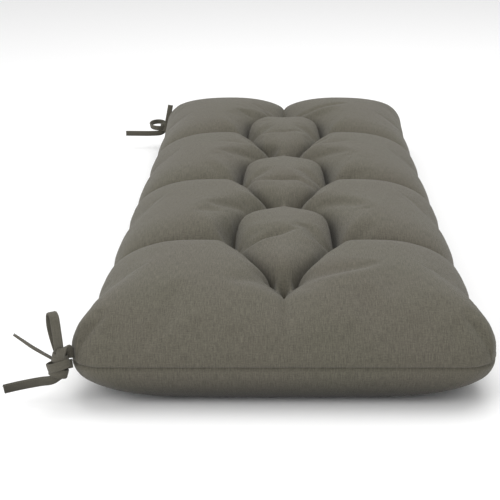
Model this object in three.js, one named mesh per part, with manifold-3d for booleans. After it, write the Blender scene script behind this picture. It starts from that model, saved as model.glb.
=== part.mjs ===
// A long tufted bench cushion that lies on its back, with a cloth tie in a bow at both corners of one
// long side.
// Millimetres, +Z up. The length runs along Y and the width along X. The origin is the middle of the
// flat underside, and the ties are on the -X side.
import * as THREE from 'three';
import { mergeVertices } from 'three/addons/utils/BufferGeometryUtils.js';
import Module from 'manifold-3d';

// Size of the cushion
const LENGTH = 1120;
const WIDTH = 468;
const SEAM_HEIGHT = 45;
const CROWN = 90;
const CORNER_RADIUS = 36;

// How the edges draw in between the corners, and at each row of tufts
const SIDE_DRAW = 9;
const ROW_DRAW = 7;
const ROW_DRAW_REACH = 30;

// The crown's shape: higher powers give flatter tops and steeper sides
const SIDE_POWER = 4.4;
const NEAR_CORNER_POWER = 9.4;
const FAR_CORNER_POWER = 3.4;
const END_POWER = 8.5;
const CORNER_START = 0.7;

// Tufts and the pleats between them
const TUFT_DEPTH = 60;
const DIAMOND_PLEAT_DEPTH = 36;
const SIDE_PLEAT_DEPTH = 29;
const SIDE_PLEAT_END_DEPTH = 20;
const DIAMOND_REACH = 56;
const SIDE_REACH = 75;
const PULL_REACH = 70;
const FAR_END_REACH = 150;
const PLEAT_SHARPNESS = 0.985;
const PLEAT_BLEND = 4;
const MOUND_DROP = 8;
const MOUND_WIDTH = 55;

// Rows of tufts from the near end to the far end. A row has one tuft on the centre line, or a pair at
// the spread on each side of it. The last two columns are how deep the cloth is pulled in midway
// between the row's tufts and the left and right edges.
const TUFT_ROWS = [
  { along: -428, spread: 0, pullLeft: 4, pullRight: 14 },
  { along: -308, spread: 66, pullLeft: SIDE_PLEAT_DEPTH, pullRight: SIDE_PLEAT_DEPTH },
  { along: -158, spread: 0, pullLeft: 0, pullRight: 0 },
  { along: -50, spread: 66, pullLeft: SIDE_PLEAT_DEPTH, pullRight: SIDE_PLEAT_DEPTH },
  { along: 100, spread: 0, pullLeft: 0, pullRight: 0 },
  { along: 224, spread: 66, pullLeft: SIDE_PLEAT_DEPTH, pullRight: SIDE_PLEAT_DEPTH },
  { along: 370, spread: 0, pullLeft: 4, pullRight: 14 },
];
const NEAR_END_PULL = 6;
const FAR_END_PULL = 26;
const RIM_PULL = 6;

// How many grid cells the top has across a half diamond, from the tufts to each edge, between two
// rows of tufts, and from the outer rows to each end
const CELLS_IN_HALF_DIAMOND = 8;
const CELLS_TO_SIDE = 9;
const CELLS_BETWEEN_ROWS = 8;
const CELLS_TO_END = 9;

// The lower half, from just under the seam to the flat underside: how far each ring lies inside the
// seam, how high it lies as a share of the seam's height, how much rounder its corners are, and how
// much higher it lies there
const LOWER_RINGS = [
  { inset: 0, height: 0.78, rounder: 0, cornerLift: 0.05 },
  { inset: 1, height: 0.5, rounder: 6, cornerLift: 0.12 },
  { inset: 8, height: 0.22, rounder: 18, cornerLift: 0.18 },
  { inset: 23, height: 0.06, rounder: 34, cornerLift: 0.12 },
  { inset: 40, height: 0, rounder: 56, cornerLift: 0 },
];

// Ties: a folded strip of the same cloth
const TIE_WIDTH = 10;
const TIE_THICKNESS = 2.2;
const TIE_GAP = 0.5;
const TIE_STEPS = 14;

const halfLength = LENGTH / 2;

function clamp(value, low, high) {
  return Math.min(Math.max(value, low), high);
}

function bell(distance, reach) {
  return Math.exp(-((distance / reach) ** 2));
}

function softMaximum(a, b, blend) {
  const share = clamp(0.5 + (0.5 * (a - b)) / blend, 0, 1);
  return b * (1 - share) + a * share + blend * share * (1 - share);
}

// Half the width of the seam's outline at a place along the cushion.
function halfWidthAt(along) {
  const share = clamp(Math.abs(along) / halfLength, 0, 1);
  let draw = SIDE_DRAW * (1 - share ** 5);
  for (const row of TUFT_ROWS) {
    const strength = row.spread > 0 ? 1 : 0.8;
    draw += ROW_DRAW * strength * bell(along - row.along, ROW_DRAW_REACH);
  }
  return WIDTH / 2 - draw;
}

// Turns grid coordinates from -1 to 1 into a place inside a rounded outline. A positive inset gives a
// smaller outline, and the corners have the radius given.
function planPoint(across, along, inset, radius) {
  const y = along * (halfLength - inset);
  const halfWidth = halfWidthAt(along * halfLength) - inset;
  const x = across * halfWidth;
  const overX = Math.abs(x) - (halfWidth - radius);
  const overY = Math.abs(y) - (halfLength - inset - radius);
  if (overX <= 0 || overY <= 0) {
    return [x, y];
  }
  const shrink = Math.max(overX, overY) / Math.hypot(overX, overY);
  return [
    Math.sign(x) * (halfWidth - radius + overX * shrink),
    Math.sign(y) * (halfLength - inset - radius + overY * shrink),
  ];
}

// Every pleat runs from one point to another. Its depth is given at its start, middle and end, and
// its reach is how far to each side the cloth is drawn down.
function makePleats() {
  const pleats = [];
  const add = (from, to, depths, reach) => pleats.push({ from, to, depths, reach });
  const edge = WIDTH / 2 + 10;
  for (let i = 0; i < TUFT_ROWS.length; i += 1) {
    const row = TUFT_ROWS[i];
    const single = row.spread === 0;
    const reach = single ? PULL_REACH : SIDE_REACH;
    const endDepth = single ? RIM_PULL : SIDE_PLEAT_END_DEPTH;
    for (const side of [-1, 1]) {
      const pull = side < 0 ? row.pullLeft : row.pullRight;
      add([side * row.spread, row.along], [side * edge, row.along], [TUFT_DEPTH, pull, endDepth], reach);
      if (i > 0) {
        const before = TUFT_ROWS[i - 1];
        const depths = [TUFT_DEPTH, DIAMOND_PLEAT_DEPTH, TUFT_DEPTH];
        add([side * before.spread, before.along], [side * row.spread, row.along], depths, DIAMOND_REACH);
      }
    }
  }
  const first = TUFT_ROWS[0].along;
  const last = TUFT_ROWS[TUFT_ROWS.length - 1].along;
  add([0, first], [0, -halfLength - 10], [TUFT_DEPTH, NEAR_END_PULL, RIM_PULL / 2], PULL_REACH);
  add([0, last], [0, halfLength + 10], [TUFT_DEPTH, FAR_END_PULL, RIM_PULL], FAR_END_REACH);
  return pleats;
}

const pleats = makePleats();

// How deep one pleat draws the cloth down at a place: a round-shouldered groove.
function pleatDepth(pleat, x, y) {
  const [fromX, fromY] = pleat.from;
  const runX = pleat.to[0] - fromX;
  const runY = pleat.to[1] - fromY;
  const along = ((x - fromX) * runX + (y - fromY) * runY) / (runX * runX + runY * runY);
  const t = clamp(along, 0, 1);
  const distance = Math.hypot(x - fromX - t * runX, y - fromY - t * runY);
  const [start, middle, end] = pleat.depths;
  const depth = start * (1 - t) * (1 - 2 * t) + 4 * middle * t * (1 - t) + end * t * (2 * t - 1);
  const near = 1 - clamp(distance / pleat.reach, 0, 1);
  const arc = 1 - Math.sqrt(1 - PLEAT_SHARPNESS * near * near);
  return (Math.max(depth, 0) * arc) / (1 - Math.sqrt(1 - PLEAT_SHARPNESS));
}

// Height of the top above the seam.
function topHeight(across, along, x, y) {
  const u = Math.abs(across);
  const v = Math.abs(along);
  const towardsEnd = clamp((v - CORNER_START) / (1 - CORNER_START), 0, 1) ** 2;
  const cornerPower = along < 0 ? NEAR_CORNER_POWER : FAR_CORNER_POWER;
  const sidePower = SIDE_POWER + (cornerPower - SIDE_POWER) * towardsEnd;
  const sideRise = Math.sqrt(Math.max(1 - u ** sidePower, 0));
  const endRise = Math.max(1 - v ** END_POWER, 0) ** 0.55;
  if (sideRise < 1e-6 || endRise < 1e-6) {
    return 0;
  }
  const rise = (sideRise ** -8 + endRise ** -8 - 1) ** (-1 / 8);
  let dent = 0;
  for (const pleat of pleats) {
    dent = softMaximum(dent, pleatDepth(pleat, x, y), PLEAT_BLEND);
  }
  const lastRow = TUFT_ROWS[TUFT_ROWS.length - 1].along;
  const drop = Math.abs(y) < lastRow ? MOUND_DROP * bell(x, MOUND_WIDTH) : 0;
  return CROWN * rise - (dent + drop) * rise ** 0.7;
}

// Grid lines from one value to another, closer together towards the outer one.
function linesTowardsEdge(from, to, cells) {
  const lines = [];
  for (let i = 1; i <= cells; i += 1) {
    lines.push(from + (to - from) * Math.sin((i / cells) * (Math.PI / 2)) ** 0.9);
  }
  return lines;
}

// Grid lines across the cushion, as shares of the half width: even between the tufts, so that the
// diamonds' pleats follow the grid's diagonals.
function acrossLines() {
  const spread = TUFT_ROWS[1].spread / (WIDTH / 2 - SIDE_DRAW);
  const half = [];
  for (let i = 1; i <= CELLS_IN_HALF_DIAMOND; i += 1) {
    half.push((spread * i) / CELLS_IN_HALF_DIAMOND);
  }
  half.push(...linesTowardsEdge(spread, 1, CELLS_TO_SIDE));
  return [...half.map((value) => -value).reverse(), 0, ...half];
}

function alongLines() {
  const rows = TUFT_ROWS.map((row) => row.along / halfLength);
  const lines = linesTowardsEdge(rows[0], -1, CELLS_TO_END).reverse();
  for (let i = 0; i + 1 < rows.length; i += 1) {
    for (let k = 0; k < CELLS_BETWEEN_ROWS; k += 1) {
      lines.push(rows[i] + ((rows[i + 1] - rows[i]) * k) / CELLS_BETWEEN_ROWS);
    }
  }
  lines.push(rows[rows.length - 1]);
  lines.push(...linesTowardsEdge(rows[rows.length - 1], 1, CELLS_TO_END));
  return lines;
}

// Whether a grid cell is split along its rising diagonal: the diamonds' pleats follow these splits.
function splitsRising(us, vs, i, j) {
  const y = ((vs[j] + vs[j + 1]) / 2) * halfLength;
  const rowsBehind = TUFT_ROWS.filter((row) => row.along < y).length;
  const widening = rowsBehind % 2 === 1;
  const onRight = us[i] + us[i + 1] > 0;
  return widening === onRight;
}

// The cushion is one closed skin: the tufted top down to the seam, rings below the seam, and the flat
// underside.
function makeCushion() {
  const points = [];
  const faces = [];
  const us = acrossLines();
  const vs = alongLines();
  const at = (i, j) => i * vs.length + j;
  for (const u of us) {
    for (const v of vs) {
      const [x, y] = planPoint(u, v, 0, CORNER_RADIUS);
      points.push([x, y, SEAM_HEIGHT + topHeight(u, v, x, y)]);
    }
  }
  for (let i = 0; i + 1 < us.length; i += 1) {
    for (let j = 0; j + 1 < vs.length; j += 1) {
      const corners = [at(i, j), at(i + 1, j), at(i + 1, j + 1), at(i, j + 1)];
      if (splitsRising(us, vs, i, j)) {
        faces.push([corners[0], corners[1], corners[2]], [corners[0], corners[2], corners[3]]);
      } else {
        faces.push([corners[0], corners[1], corners[3]], [corners[1], corners[2], corners[3]]);
      }
    }
  }

  const lastU = us.length - 1;
  const lastV = vs.length - 1;
  const rim = [];
  for (let i = 0; i < lastU; i += 1) rim.push([i, 0]);
  for (let j = 0; j < lastV; j += 1) rim.push([lastU, j]);
  for (let i = lastU; i > 0; i -= 1) rim.push([i, lastV]);
  for (let j = lastV; j > 0; j -= 1) rim.push([0, j]);

  let ringAbove = rim.map(([i, j]) => at(i, j));
  for (const ring of LOWER_RINGS) {
    const radius = CORNER_RADIUS + ring.rounder;
    const ringBelow = rim.map(([i, j]) => {
      const [x, y] = planPoint(us[i], vs[j], ring.inset, radius);
      const cornerShare = Math.abs(us[i]) ** 5 * Math.abs(vs[j]) ** 20;
      points.push([x, y, SEAM_HEIGHT * (ring.height + ring.cornerLift * cornerShare)]);
      return points.length - 1;
    });
    for (let k = 0; k < rim.length; k += 1) {
      const next = (k + 1) % rim.length;
      faces.push([ringAbove[k], ringBelow[k], ringBelow[next]]);
      faces.push([ringAbove[k], ringBelow[next], ringAbove[next]]);
    }
    ringAbove = ringBelow;
  }
  const underside = ringAbove.map((index) => new THREE.Vector2(points[index][0], points[index][1]));
  for (const [a, b, c] of THREE.ShapeUtils.triangulateShape(underside, [])) {
    faces.push([ringAbove[a], ringAbove[c], ringAbove[b]]);
  }
  return geometryFrom(points, faces);
}

function geometryFrom(points, faces) {
  const geometry = new THREE.BufferGeometry();
  geometry.setAttribute('position', new THREE.Float32BufferAttribute(points.flat(), 3));
  geometry.setIndex(faces.flat());
  geometry.computeVertexNormals();
  return geometry;
}

// A flat strip of cloth that follows a smooth curve. Each row of the table is a point of its middle
// line and the direction in which its width lies there.
function makeStrip(table) {
  const middle = new THREE.CatmullRomCurve3(table.map((row) => new THREE.Vector3(...row.at)));
  const widths = new THREE.CatmullRomCurve3(table.map((row) => new THREE.Vector3(...row.width)));
  const steps = TIE_STEPS;
  const points = [];
  const faces = [];
  for (let i = 0; i <= steps; i += 1) {
    const t = i / steps;
    const centre = middle.getPoint(t);
    const tangent = middle.getTangent(t);
    const side = widths.getPoint(t);
    side.addScaledVector(tangent, -side.dot(tangent)).normalize();
    const up = new THREE.Vector3().crossVectors(tangent, side);
    for (const [across, through] of [[-1, -1], [1, -1], [1, 1], [-1, 1]]) {
      const corner = centre.clone();
      corner.addScaledVector(side, (across * TIE_WIDTH) / 2);
      corner.addScaledVector(up, (through * TIE_THICKNESS) / 2);
      points.push(corner.toArray());
    }
  }
  for (let i = 0; i < steps; i += 1) {
    for (let k = 0; k < 4; k += 1) {
      const a = i * 4 + k;
      const b = i * 4 + ((k + 1) % 4);
      faces.push([a, b, b + 4], [a, b + 4, a + 4]);
    }
  }
  const end = steps * 4;
  faces.push([0, 2, 1], [0, 3, 2], [end, end + 1, end + 2], [end, end + 2, end + 3]);
  return geometryFrom(points, faces);
}

// The lump of crossed cloth at the middle of a bow.
function makeKnot(centre, size) {
  const geometry = new THREE.SphereGeometry(1, 14, 9);
  geometry.rotateX(Math.PI / 2);
  geometry.scale(size[0] / 2, size[1] / 2, size[2] / 2);
  geometry.translate(...centre);
  return geometry;
}

const wasm = await Module();
wasm.setup();

function solidFrom(geometry) {
  const bare = geometry.clone();
  bare.deleteAttribute('normal');
  bare.deleteAttribute('uv');
  const merged = mergeVertices(bare, 1e-4);
  const mesh = new wasm.Mesh({
    numProp: 3,
    vertProperties: new Float32Array(merged.attributes.position.array),
    triVerts: new Uint32Array(merged.index.array),
  });
  return new wasm.Manifold(mesh);
}

function geometryOf(solid) {
  const mesh = solid.getMesh();
  const geometry = new THREE.BufferGeometry();
  geometry.setAttribute('position', new THREE.Float32BufferAttribute(mesh.vertProperties, 3));
  geometry.setIndex(new THREE.Uint32BufferAttribute(mesh.triVerts, 1));
  geometry.computeVertexNormals();
  return geometry;
}

// A bow is one solid: its strips and its knot joined together.
function makeBow(strips, knot) {
  let bow = solidFrom(makeKnot(knot.at, knot.size));
  for (const table of Object.values(strips)) {
    bow = bow.add(solidFrom(makeStrip(table)));
  }
  return geometryOf(bow);
}

// Where the ties leave the seam: on the rounded corners of the left side
const TIE_ANGLE = Math.PI / 5;
const tieX = -(halfWidthAt(halfLength) - CORNER_RADIUS * (1 - Math.cos(TIE_ANGLE))) - TIE_GAP;
const tieFromMiddle = halfLength - CORNER_RADIUS * (1 - Math.sin(TIE_ANGLE)) + TIE_GAP;
const nearTieY = -tieFromMiddle;
const farTieY = tieFromMiddle;

// The bow at the near corner: an upright loop, a short ear, a tail that points up and one that hangs
const nearKnot = { at: [tieX - 12, nearTieY - 3, 44], size: [24, 17, 19] };
const nearStrips = {
  root: [
    { at: [tieX - 1.5, nearTieY - 1, 46], width: [0, 0.3, 1] },
    { at: [tieX - 5, nearTieY - 2, 46], width: [0, 0.3, 1] },
    { at: [tieX - 10, nearTieY - 3, 45], width: [0, 0.3, 1] },
  ],
  loop: [
    { at: [tieX - 12, nearTieY - 3, 46], width: [1, 0.3, 0] },
    { at: [tieX - 9, nearTieY - 6, 64], width: [1, 0.3, 0] },
    { at: [tieX - 10, nearTieY - 8, 85], width: [1, 0.3, 0] },
    { at: [tieX - 13, nearTieY - 7, 100], width: [1, 0.4, 0] },
    { at: [tieX - 17, nearTieY, 102], width: [1, 0.5, 0] },
    { at: [tieX - 18, nearTieY + 5, 85], width: [1, 0.5, 0] },
    { at: [tieX - 16, nearTieY + 4, 64], width: [1, 0.3, 0] },
    { at: [tieX - 13, nearTieY - 1, 46], width: [1, 0.3, 0] },
  ],
  ear: [
    { at: [tieX - 10, nearTieY - 3, 46], width: [1, 0, 0.1] },
    { at: [tieX - 6, nearTieY - 8, 59], width: [1, 0, 0.1] },
    { at: [tieX - 5, nearTieY - 6, 70], width: [1, 0, 0.1] },
  ],
  upperTail: [
    { at: [tieX - 14, nearTieY - 3, 50], width: [0, 1, 0] },
    { at: [tieX - 25, nearTieY - 5, 63], width: [0.1, 1, 0] },
    { at: [tieX - 40, nearTieY - 8, 73], width: [0.1, 1, 0] },
    { at: [tieX - 58, nearTieY - 11, 84], width: [0.1, 1, 0] },
  ],
  lowerTail: [
    { at: [tieX - 14, nearTieY - 5, 41], width: [0, 0.2, 1] },
    { at: [tieX - 25, nearTieY - 12, 35], width: [0, 0.2, 1] },
    { at: [tieX - 45, nearTieY - 17, 31], width: [0, 0.2, 1] },
    { at: [tieX - 70, nearTieY - 19, 25], width: [0, 0.2, 1] },
  ],
};

// The bow at the far corner: a round loop, an upright tail and one that points away to the left
const farKnot = { at: [tieX - 9, farTieY + 3, 43], size: [17, 16, 21] };
const farStrips = {
  root: [
    { at: [tieX - 1.5, farTieY + 1, 45], width: [0, 0.3, 1] },
    { at: [tieX - 4, farTieY + 2, 45], width: [0, 0.3, 1] },
    { at: [tieX - 8, farTieY + 3, 44], width: [0, 0.3, 1] },
  ],
  loop: [
    { at: [tieX - 8, farTieY + 2, 41], width: [0, 1, 0] },
    { at: [tieX - 20, farTieY + 1, 37], width: [0, 1, 0] },
    { at: [tieX - 33, farTieY, 42], width: [0, 1, 0] },
    { at: [tieX - 37, farTieY, 51], width: [0, 1, 0] },
    { at: [tieX - 28, farTieY + 1, 59], width: [0, 1, 0] },
    { at: [tieX - 16, farTieY + 2, 56], width: [0, 1, 0] },
    { at: [tieX - 8, farTieY + 3, 48], width: [0, 1, 0] },
  ],
  upperTail: [
    { at: [tieX - 8, farTieY + 3, 45], width: [1, 0.2, 0] },
    { at: [tieX - 5, farTieY + 2, 60], width: [1, 0.2, 0] },
    { at: [tieX - 3, farTieY + 3, 74], width: [1, 0.2, 0] },
    { at: [tieX, farTieY + 4, 88], width: [1, 0.2, 0] },
  ],
  lowerTail: [
    { at: [tieX - 10, farTieY + 1, 42], width: [0, 0.3, 1] },
    { at: [tieX - 28, farTieY - 3, 35], width: [0, 0.3, 1] },
    { at: [tieX - 55, farTieY - 6, 33], width: [0, 0.3, 1] },
    { at: [tieX - 82, farTieY - 7, 33], width: [0, 0.3, 1] },
  ],
};

const coverCloth = new THREE.MeshStandardMaterial({ color: 0x6e6a5e, roughness: 0.95, metalness: 0 });
const tieCloth = new THREE.MeshStandardMaterial({ color: 0x68645a, roughness: 0.95, metalness: 0 });

const cushion = new THREE.Mesh(makeCushion(), coverCloth);
cushion.name = 'cushion';

const nearTie = new THREE.Mesh(makeBow(nearStrips, nearKnot), tieCloth);
nearTie.name = 'tie_near';

const farTie = new THREE.Mesh(makeBow(farStrips, farKnot), tieCloth);
farTie.name = 'tie_far';

const benchCushion = new THREE.Group();
benchCushion.add(cushion, nearTie, farTie);

export default benchCushion;
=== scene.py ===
import math
from collections import namedtuple

import bpy
import numpy as np
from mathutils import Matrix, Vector


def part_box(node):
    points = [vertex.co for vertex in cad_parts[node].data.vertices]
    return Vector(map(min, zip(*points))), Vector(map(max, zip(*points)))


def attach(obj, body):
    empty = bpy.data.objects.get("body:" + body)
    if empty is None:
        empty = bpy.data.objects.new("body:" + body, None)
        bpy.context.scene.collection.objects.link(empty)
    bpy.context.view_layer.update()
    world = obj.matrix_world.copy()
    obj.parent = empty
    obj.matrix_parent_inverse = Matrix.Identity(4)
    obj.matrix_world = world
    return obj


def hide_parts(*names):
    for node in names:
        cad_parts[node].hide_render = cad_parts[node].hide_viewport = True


# The camera stands at the near end and looks along the cushion, a little down
CAMERA_PLACE = (0.0, -1.6186, 0.5726)
CAMERA_PITCH = math.radians(20.122)
CAMERA_LENS = 79.735
CAMERA_SHIFT = -0.068


def put_in_scene(thing):
    bpy.context.scene.collection.objects.link(thing)


def make_camera():
    data = bpy.data.cameras.new("camera")
    data.sensor_width = 36
    data.lens = CAMERA_LENS
    data.shift_x = CAMERA_SHIFT
    data.clip_end = 50
    camera = bpy.data.objects.new("camera", data)
    camera.location = CAMERA_PLACE
    camera.rotation_euler = (math.pi / 2 - CAMERA_PITCH, 0, 0)
    put_in_scene(camera)
    bpy.context.scene.camera = camera


make_camera()
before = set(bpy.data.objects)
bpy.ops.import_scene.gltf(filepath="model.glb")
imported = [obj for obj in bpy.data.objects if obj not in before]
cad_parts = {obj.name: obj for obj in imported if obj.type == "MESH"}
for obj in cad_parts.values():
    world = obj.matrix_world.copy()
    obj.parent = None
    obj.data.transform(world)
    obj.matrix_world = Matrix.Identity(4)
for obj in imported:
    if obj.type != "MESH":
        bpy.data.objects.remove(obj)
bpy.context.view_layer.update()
cushion_low, cushion_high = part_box("cushion")

# Size of the cushion: the length of the solid that it replaces, and the rest as in the photo
HALF_LENGTH = (cushion_high.y - cushion_low.y) / 2
WIDTH = 0.467
SEAM_HEIGHT = 0.0505
CROWN = 0.0730
CORNER_RADIUS = 0.040

# How the edges draw in between the corners, and at each row of tufts
SIDE_DRAW = 0.0110
SIDE_DRAW_POWER = 5
ROW_DRAW_REACH = 0.030

# The crown's shape: higher powers give flatter tops and steeper sides. The corners have powers of their
# own from CORNER_START on, a share of the half length.
SIDE_POWER = 4.1
NEAR_CORNER_POWER = 11.0
FAR_CORNER_POWER = 3.2
END_POWER = 8.8
END_SLOPE = 0.55
CORNER_START = 0.7
CORNER_BLEND = 5

# Tufts and pleats. The pleats run from tuft to tuft round a row of mounds down the middle, and from the
# pairs of tufts out to the sides. A pleat's reach is how far to each side it draws the cloth down.
TUFT_RADIUS = 0.014
DIAMOND_PLEAT_DEPTH = 0.030
DIAMOND_REACH = 0.047
DIAMOND_FAR_BULGE = 4.2
DIAMOND_NEAR_BULGE = 0.68
SIDE_PLEAT_DEPTH = 0.031
SIDE_PLEAT_END_DEPTH = 0.0185
SIDE_REACH = 0.064
NEAR_END_REACH = 0.078
NEAR_END_MIDDLE = 0.010
NEAR_END_DEPTH = 0.004
FAR_END_REACH = 0.100
FAR_END_MIDDLE = 0.032
FAR_END_DEPTH = 0.012
PLEAT_SHARPNESS = 0.985
PLEAT_FULLNESS = 2.4
PLEAT_BLEND = 5.0
PLEAT_PIECES = 30
PAST_EDGE = 0.010
EDGE_FADE = 0.7

# The mounds lie a little lower than the cloth beside them, less towards the first and last rows
MOUND_DROP = 0.009
MOUND_WIDTH = 0.052
MOUND_FADE = 0.090

# A row of tufts has one on the centre line, or a pair at the spread on each side. Its draw is how far
# the row pulls in the side edges, and its depth how far it pulls down the top.
Row = namedtuple("Row", "along spread draw depth")
TUFT_ROWS = [
    Row(-0.428, 0.0, 0.006, 0.047),
    Row(-0.308, 0.066, 0.006, 0.063),
    Row(-0.158, 0.0, 0.006, 0.058),
    Row(-0.050, 0.066, 0.002, 0.063),
    Row(0.100, 0.0, 0.005, 0.058),
    Row(0.224, 0.066, 0.003, 0.060),
    Row(0.370, 0.0, 0.003, 0.062),
]
FIRST_ROW = TUFT_ROWS[0].along
LAST_ROW = TUFT_ROWS[-1].along

# Folds as in the photo, listed one by one: how deep each is, or how high where it is below zero, how far
# it reaches to each side, and its line on the plan
Fold = namedtuple("Fold", "depth reach line")
FOLDS = [
    # across the nearest mound, from its left tuft, with a soft roll behind it
    Fold(0.0075, 0.0075, [(-0.062, -0.310), (-0.038, -0.322), (-0.012, -0.314), (0.014, -0.302)]),
    Fold(-0.0035, 0.0140, [(-0.045, -0.292), (-0.010, -0.284), (0.024, -0.278)]),
    # across the middle mound
    Fold(0.0060, 0.0070, [(-0.048, -0.058), (-0.014, -0.066), (0.020, -0.066), (0.052, -0.084)]),
    Fold(-0.0025, 0.0120, [(-0.036, -0.038), (0.006, -0.040), (0.040, -0.052)]),
    # a faint one across the farthest mound
    Fold(0.0030, 0.0080, [(-0.045, 0.212), (0.000, 0.204), (0.045, 0.214)]),
    # puckers beside the tufts
    Fold(0.0110, 0.0100, [(-0.064, -0.306), (-0.075, -0.278), (-0.070, -0.242)]),
    Fold(0.0120, 0.0060, [(0.060, -0.322), (0.052, -0.344), (0.044, -0.362)]),
    Fold(0.0100, 0.0070, [(-0.038, 0.152), (-0.024, 0.142), (-0.012, 0.128)]),
    Fold(0.0090, 0.0080, [(-0.064, 0.268), (-0.058, 0.240), (-0.046, 0.212)]),
    # pulls from the tufts towards the right side
    Fold(0.0060, 0.0120, [(0.010, -0.438), (0.050, -0.446), (0.090, -0.440), (0.132, -0.424)]),
    Fold(-0.0035, 0.0140, [(0.020, -0.470), (0.060, -0.467), (0.100, -0.456), (0.132, -0.442)]),
    Fold(0.0050, 0.0090, [(0.076, -0.316), (0.098, -0.292), (0.124, -0.262)]),
    Fold(0.0040, 0.0090, [(0.076, -0.056), (0.102, -0.036), (0.128, -0.020)]),
    Fold(0.0050, 0.0100, [(0.016, 0.372), (0.070, 0.374), (0.132, 0.388)]),
    Fold(-0.0025, 0.0120, [(0.030, 0.350), (0.080, 0.352), (0.132, 0.366)]),
    # pulls towards the left side
    Fold(0.0035, 0.0100, [(-0.078, -0.044), (-0.100, -0.020), (-0.122, 0.002)]),
    Fold(0.0035, 0.0120, [(-0.014, -0.440), (-0.050, -0.462), (-0.090, -0.470)]),
    # the dip in front of the first tuft
    Fold(0.0085, 0.0300, [(0.000, -0.405), (0.000, -0.480)]),
    # soft dents down the near end
    Fold(0.0030, 0.0200, [(-0.020, -0.490), (-0.030, -0.548)]),
    Fold(0.0030, 0.0180, [(0.088, -0.480), (0.100, -0.545)]),
    Fold(0.0025, 0.0200, [(-0.118, -0.465), (-0.130, -0.545)]),
]

# A narrow crease lies in the pleat down each side of a mound: its depth on the left and on the right,
# from the nearest row of tufts to the farthest
CREASES = [(0.011, 0.011), (0.008, 0.021), (0.010, 0.011), (0.014, 0.014), (0.011, 0.011), (0.012, 0.009)]
CREASE_REACH = 0.0038
FOLD_FADE = 1.2

# The lower panel, from the seam to the flat underside. Its rings lie closer together near the seam, its
# corners are rounder than the seam's, and they lift a little.
LOWER_REACH = 0.045
LOWER_RINGS = 14
LOWER_SPACING = 1.5
LOWER_INSET_POWER = 1.1
LOWER_HEIGHT_POWER = 0.9
LOWER_ROUNDING = 0.110
LOWER_ROUNDING_POWER = 1.6
LOWER_CORNER_LIFT = 0.05
LIFT_POWER = 0.8
LIFT_ACROSS_POWER = 2.5
LIFT_ALONG_POWER = 20

# The seam: a narrow groove between two small rolls of cloth
SEAM_GROOVE = 0.0024
SEAM_GROOVE_WIDTH = 0.0014
SEAM_ROLL = 0.0007
SEAM_ROLL_AT = 0.0036
SEAM_ROLL_WIDTH = 0.0018

# The least that a rise or a length counts as where it is divided by
LEAST_RISE = 1e-6
LEAST_LENGTH = 1e-9


def bell(distance, reach):
    """1 at no distance, fading to nothing beyond the reach."""
    return np.exp(-((distance / reach) ** 2))


def half_width_at(y):
    """Half the width of the seam's outline at a place along the cushion."""
    share = np.clip(np.abs(y) / HALF_LENGTH, 0, 1)
    draw = SIDE_DRAW * (1 - share**SIDE_DRAW_POWER)
    for row in TUFT_ROWS:
        draw = draw + row.draw * bell(y - row.along, ROW_DRAW_REACH)
    return WIDTH / 2 - draw


def round_corners(x, y, half_width, half_length, radius):
    """Moves points near the corners of a rectangle into corners of the radius given."""
    over_x = np.abs(x) - (half_width - radius)
    over_y = np.abs(y) - (half_length - radius)
    inside = (over_x > 0) & (over_y > 0)
    shrink = np.maximum(over_x, over_y) / np.maximum(np.hypot(over_x, over_y), LEAST_LENGTH)
    round_x = np.sign(x) * (half_width - radius + over_x * shrink)
    round_y = np.sign(y) * (half_length - radius + over_y * shrink)
    return np.where(inside, round_x, x), np.where(inside, round_y, y)


def diamond_half_width(y):
    """Half the width of the row of mounds: the pleats between the tufts follow this line.

    Each mound is blunt at its far end and narrow at its near one.
    """
    along = [-HALF_LENGTH] + [row.along for row in TUFT_ROWS] + [HALF_LENGTH]
    widest = TUFT_ROWS[1].spread
    spread = [widest] + [row.spread for row in TUFT_ROWS] + [widest]
    width = np.zeros_like(y)
    for start, end, here, there in zip(along, along[1:], spread, spread[1:]):
        share = np.clip((y - start) / (end - start), 0, 1)
        if there > here:
            piece = there * share**DIAMOND_NEAR_BULGE
        else:
            piece = here * (1 - share**DIAMOND_FAR_BULGE)
        width = np.where((y >= start) & (y <= end), piece, width)
    return np.maximum(width, TUFT_RADIUS)


# A pleat follows a line on the plan. Its depths are at its start, middle and end, and its reach is how
# far to each side the cloth is drawn down.
Pleat = namedtuple("Pleat", "line depths reach")


def straight(start, end):
    return np.array([start, end], float)


def mound_side(start_y, end_y, side):
    """The line of the pleat down one side of a mound, between two rows of tufts."""
    y = np.linspace(start_y, end_y, PLEAT_PIECES + 1)
    return np.stack([side * diamond_half_width(y), y], -1)


def make_pleats():
    pleats = []
    edge = WIDTH / 2 + PAST_EDGE
    for before, row in zip(TUFT_ROWS, TUFT_ROWS[1:]):
        for side in (-1, 1):
            line = mound_side(before.along, row.along, side)
            depths = (before.depth, DIAMOND_PLEAT_DEPTH, row.depth)
            pleats.append(Pleat(line, depths, DIAMOND_REACH))
            if row.spread:
                line = straight((side * row.spread, row.along), (side * edge, row.along))
                depths = (row.depth, SIDE_PLEAT_DEPTH, SIDE_PLEAT_END_DEPTH)
                pleats.append(Pleat(line, depths, SIDE_REACH))
    near = straight((0, FIRST_ROW), (0, -HALF_LENGTH - PAST_EDGE))
    far = straight((0, LAST_ROW), (0, HALF_LENGTH + PAST_EDGE))
    depths = (TUFT_ROWS[0].depth, NEAR_END_MIDDLE, NEAR_END_DEPTH)
    pleats.append(Pleat(near, depths, NEAR_END_REACH))
    depths = (TUFT_ROWS[-1].depth, FAR_END_MIDDLE, FAR_END_DEPTH)
    pleats.append(Pleat(far, depths, FAR_END_REACH))
    return pleats


PLEATS = make_pleats()


def lengths_along(line):
    """How far each point of a line lies from its start, along the line."""
    return np.concatenate([[0], np.cumsum(np.linalg.norm(np.diff(line, axis=0), axis=1))])


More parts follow.
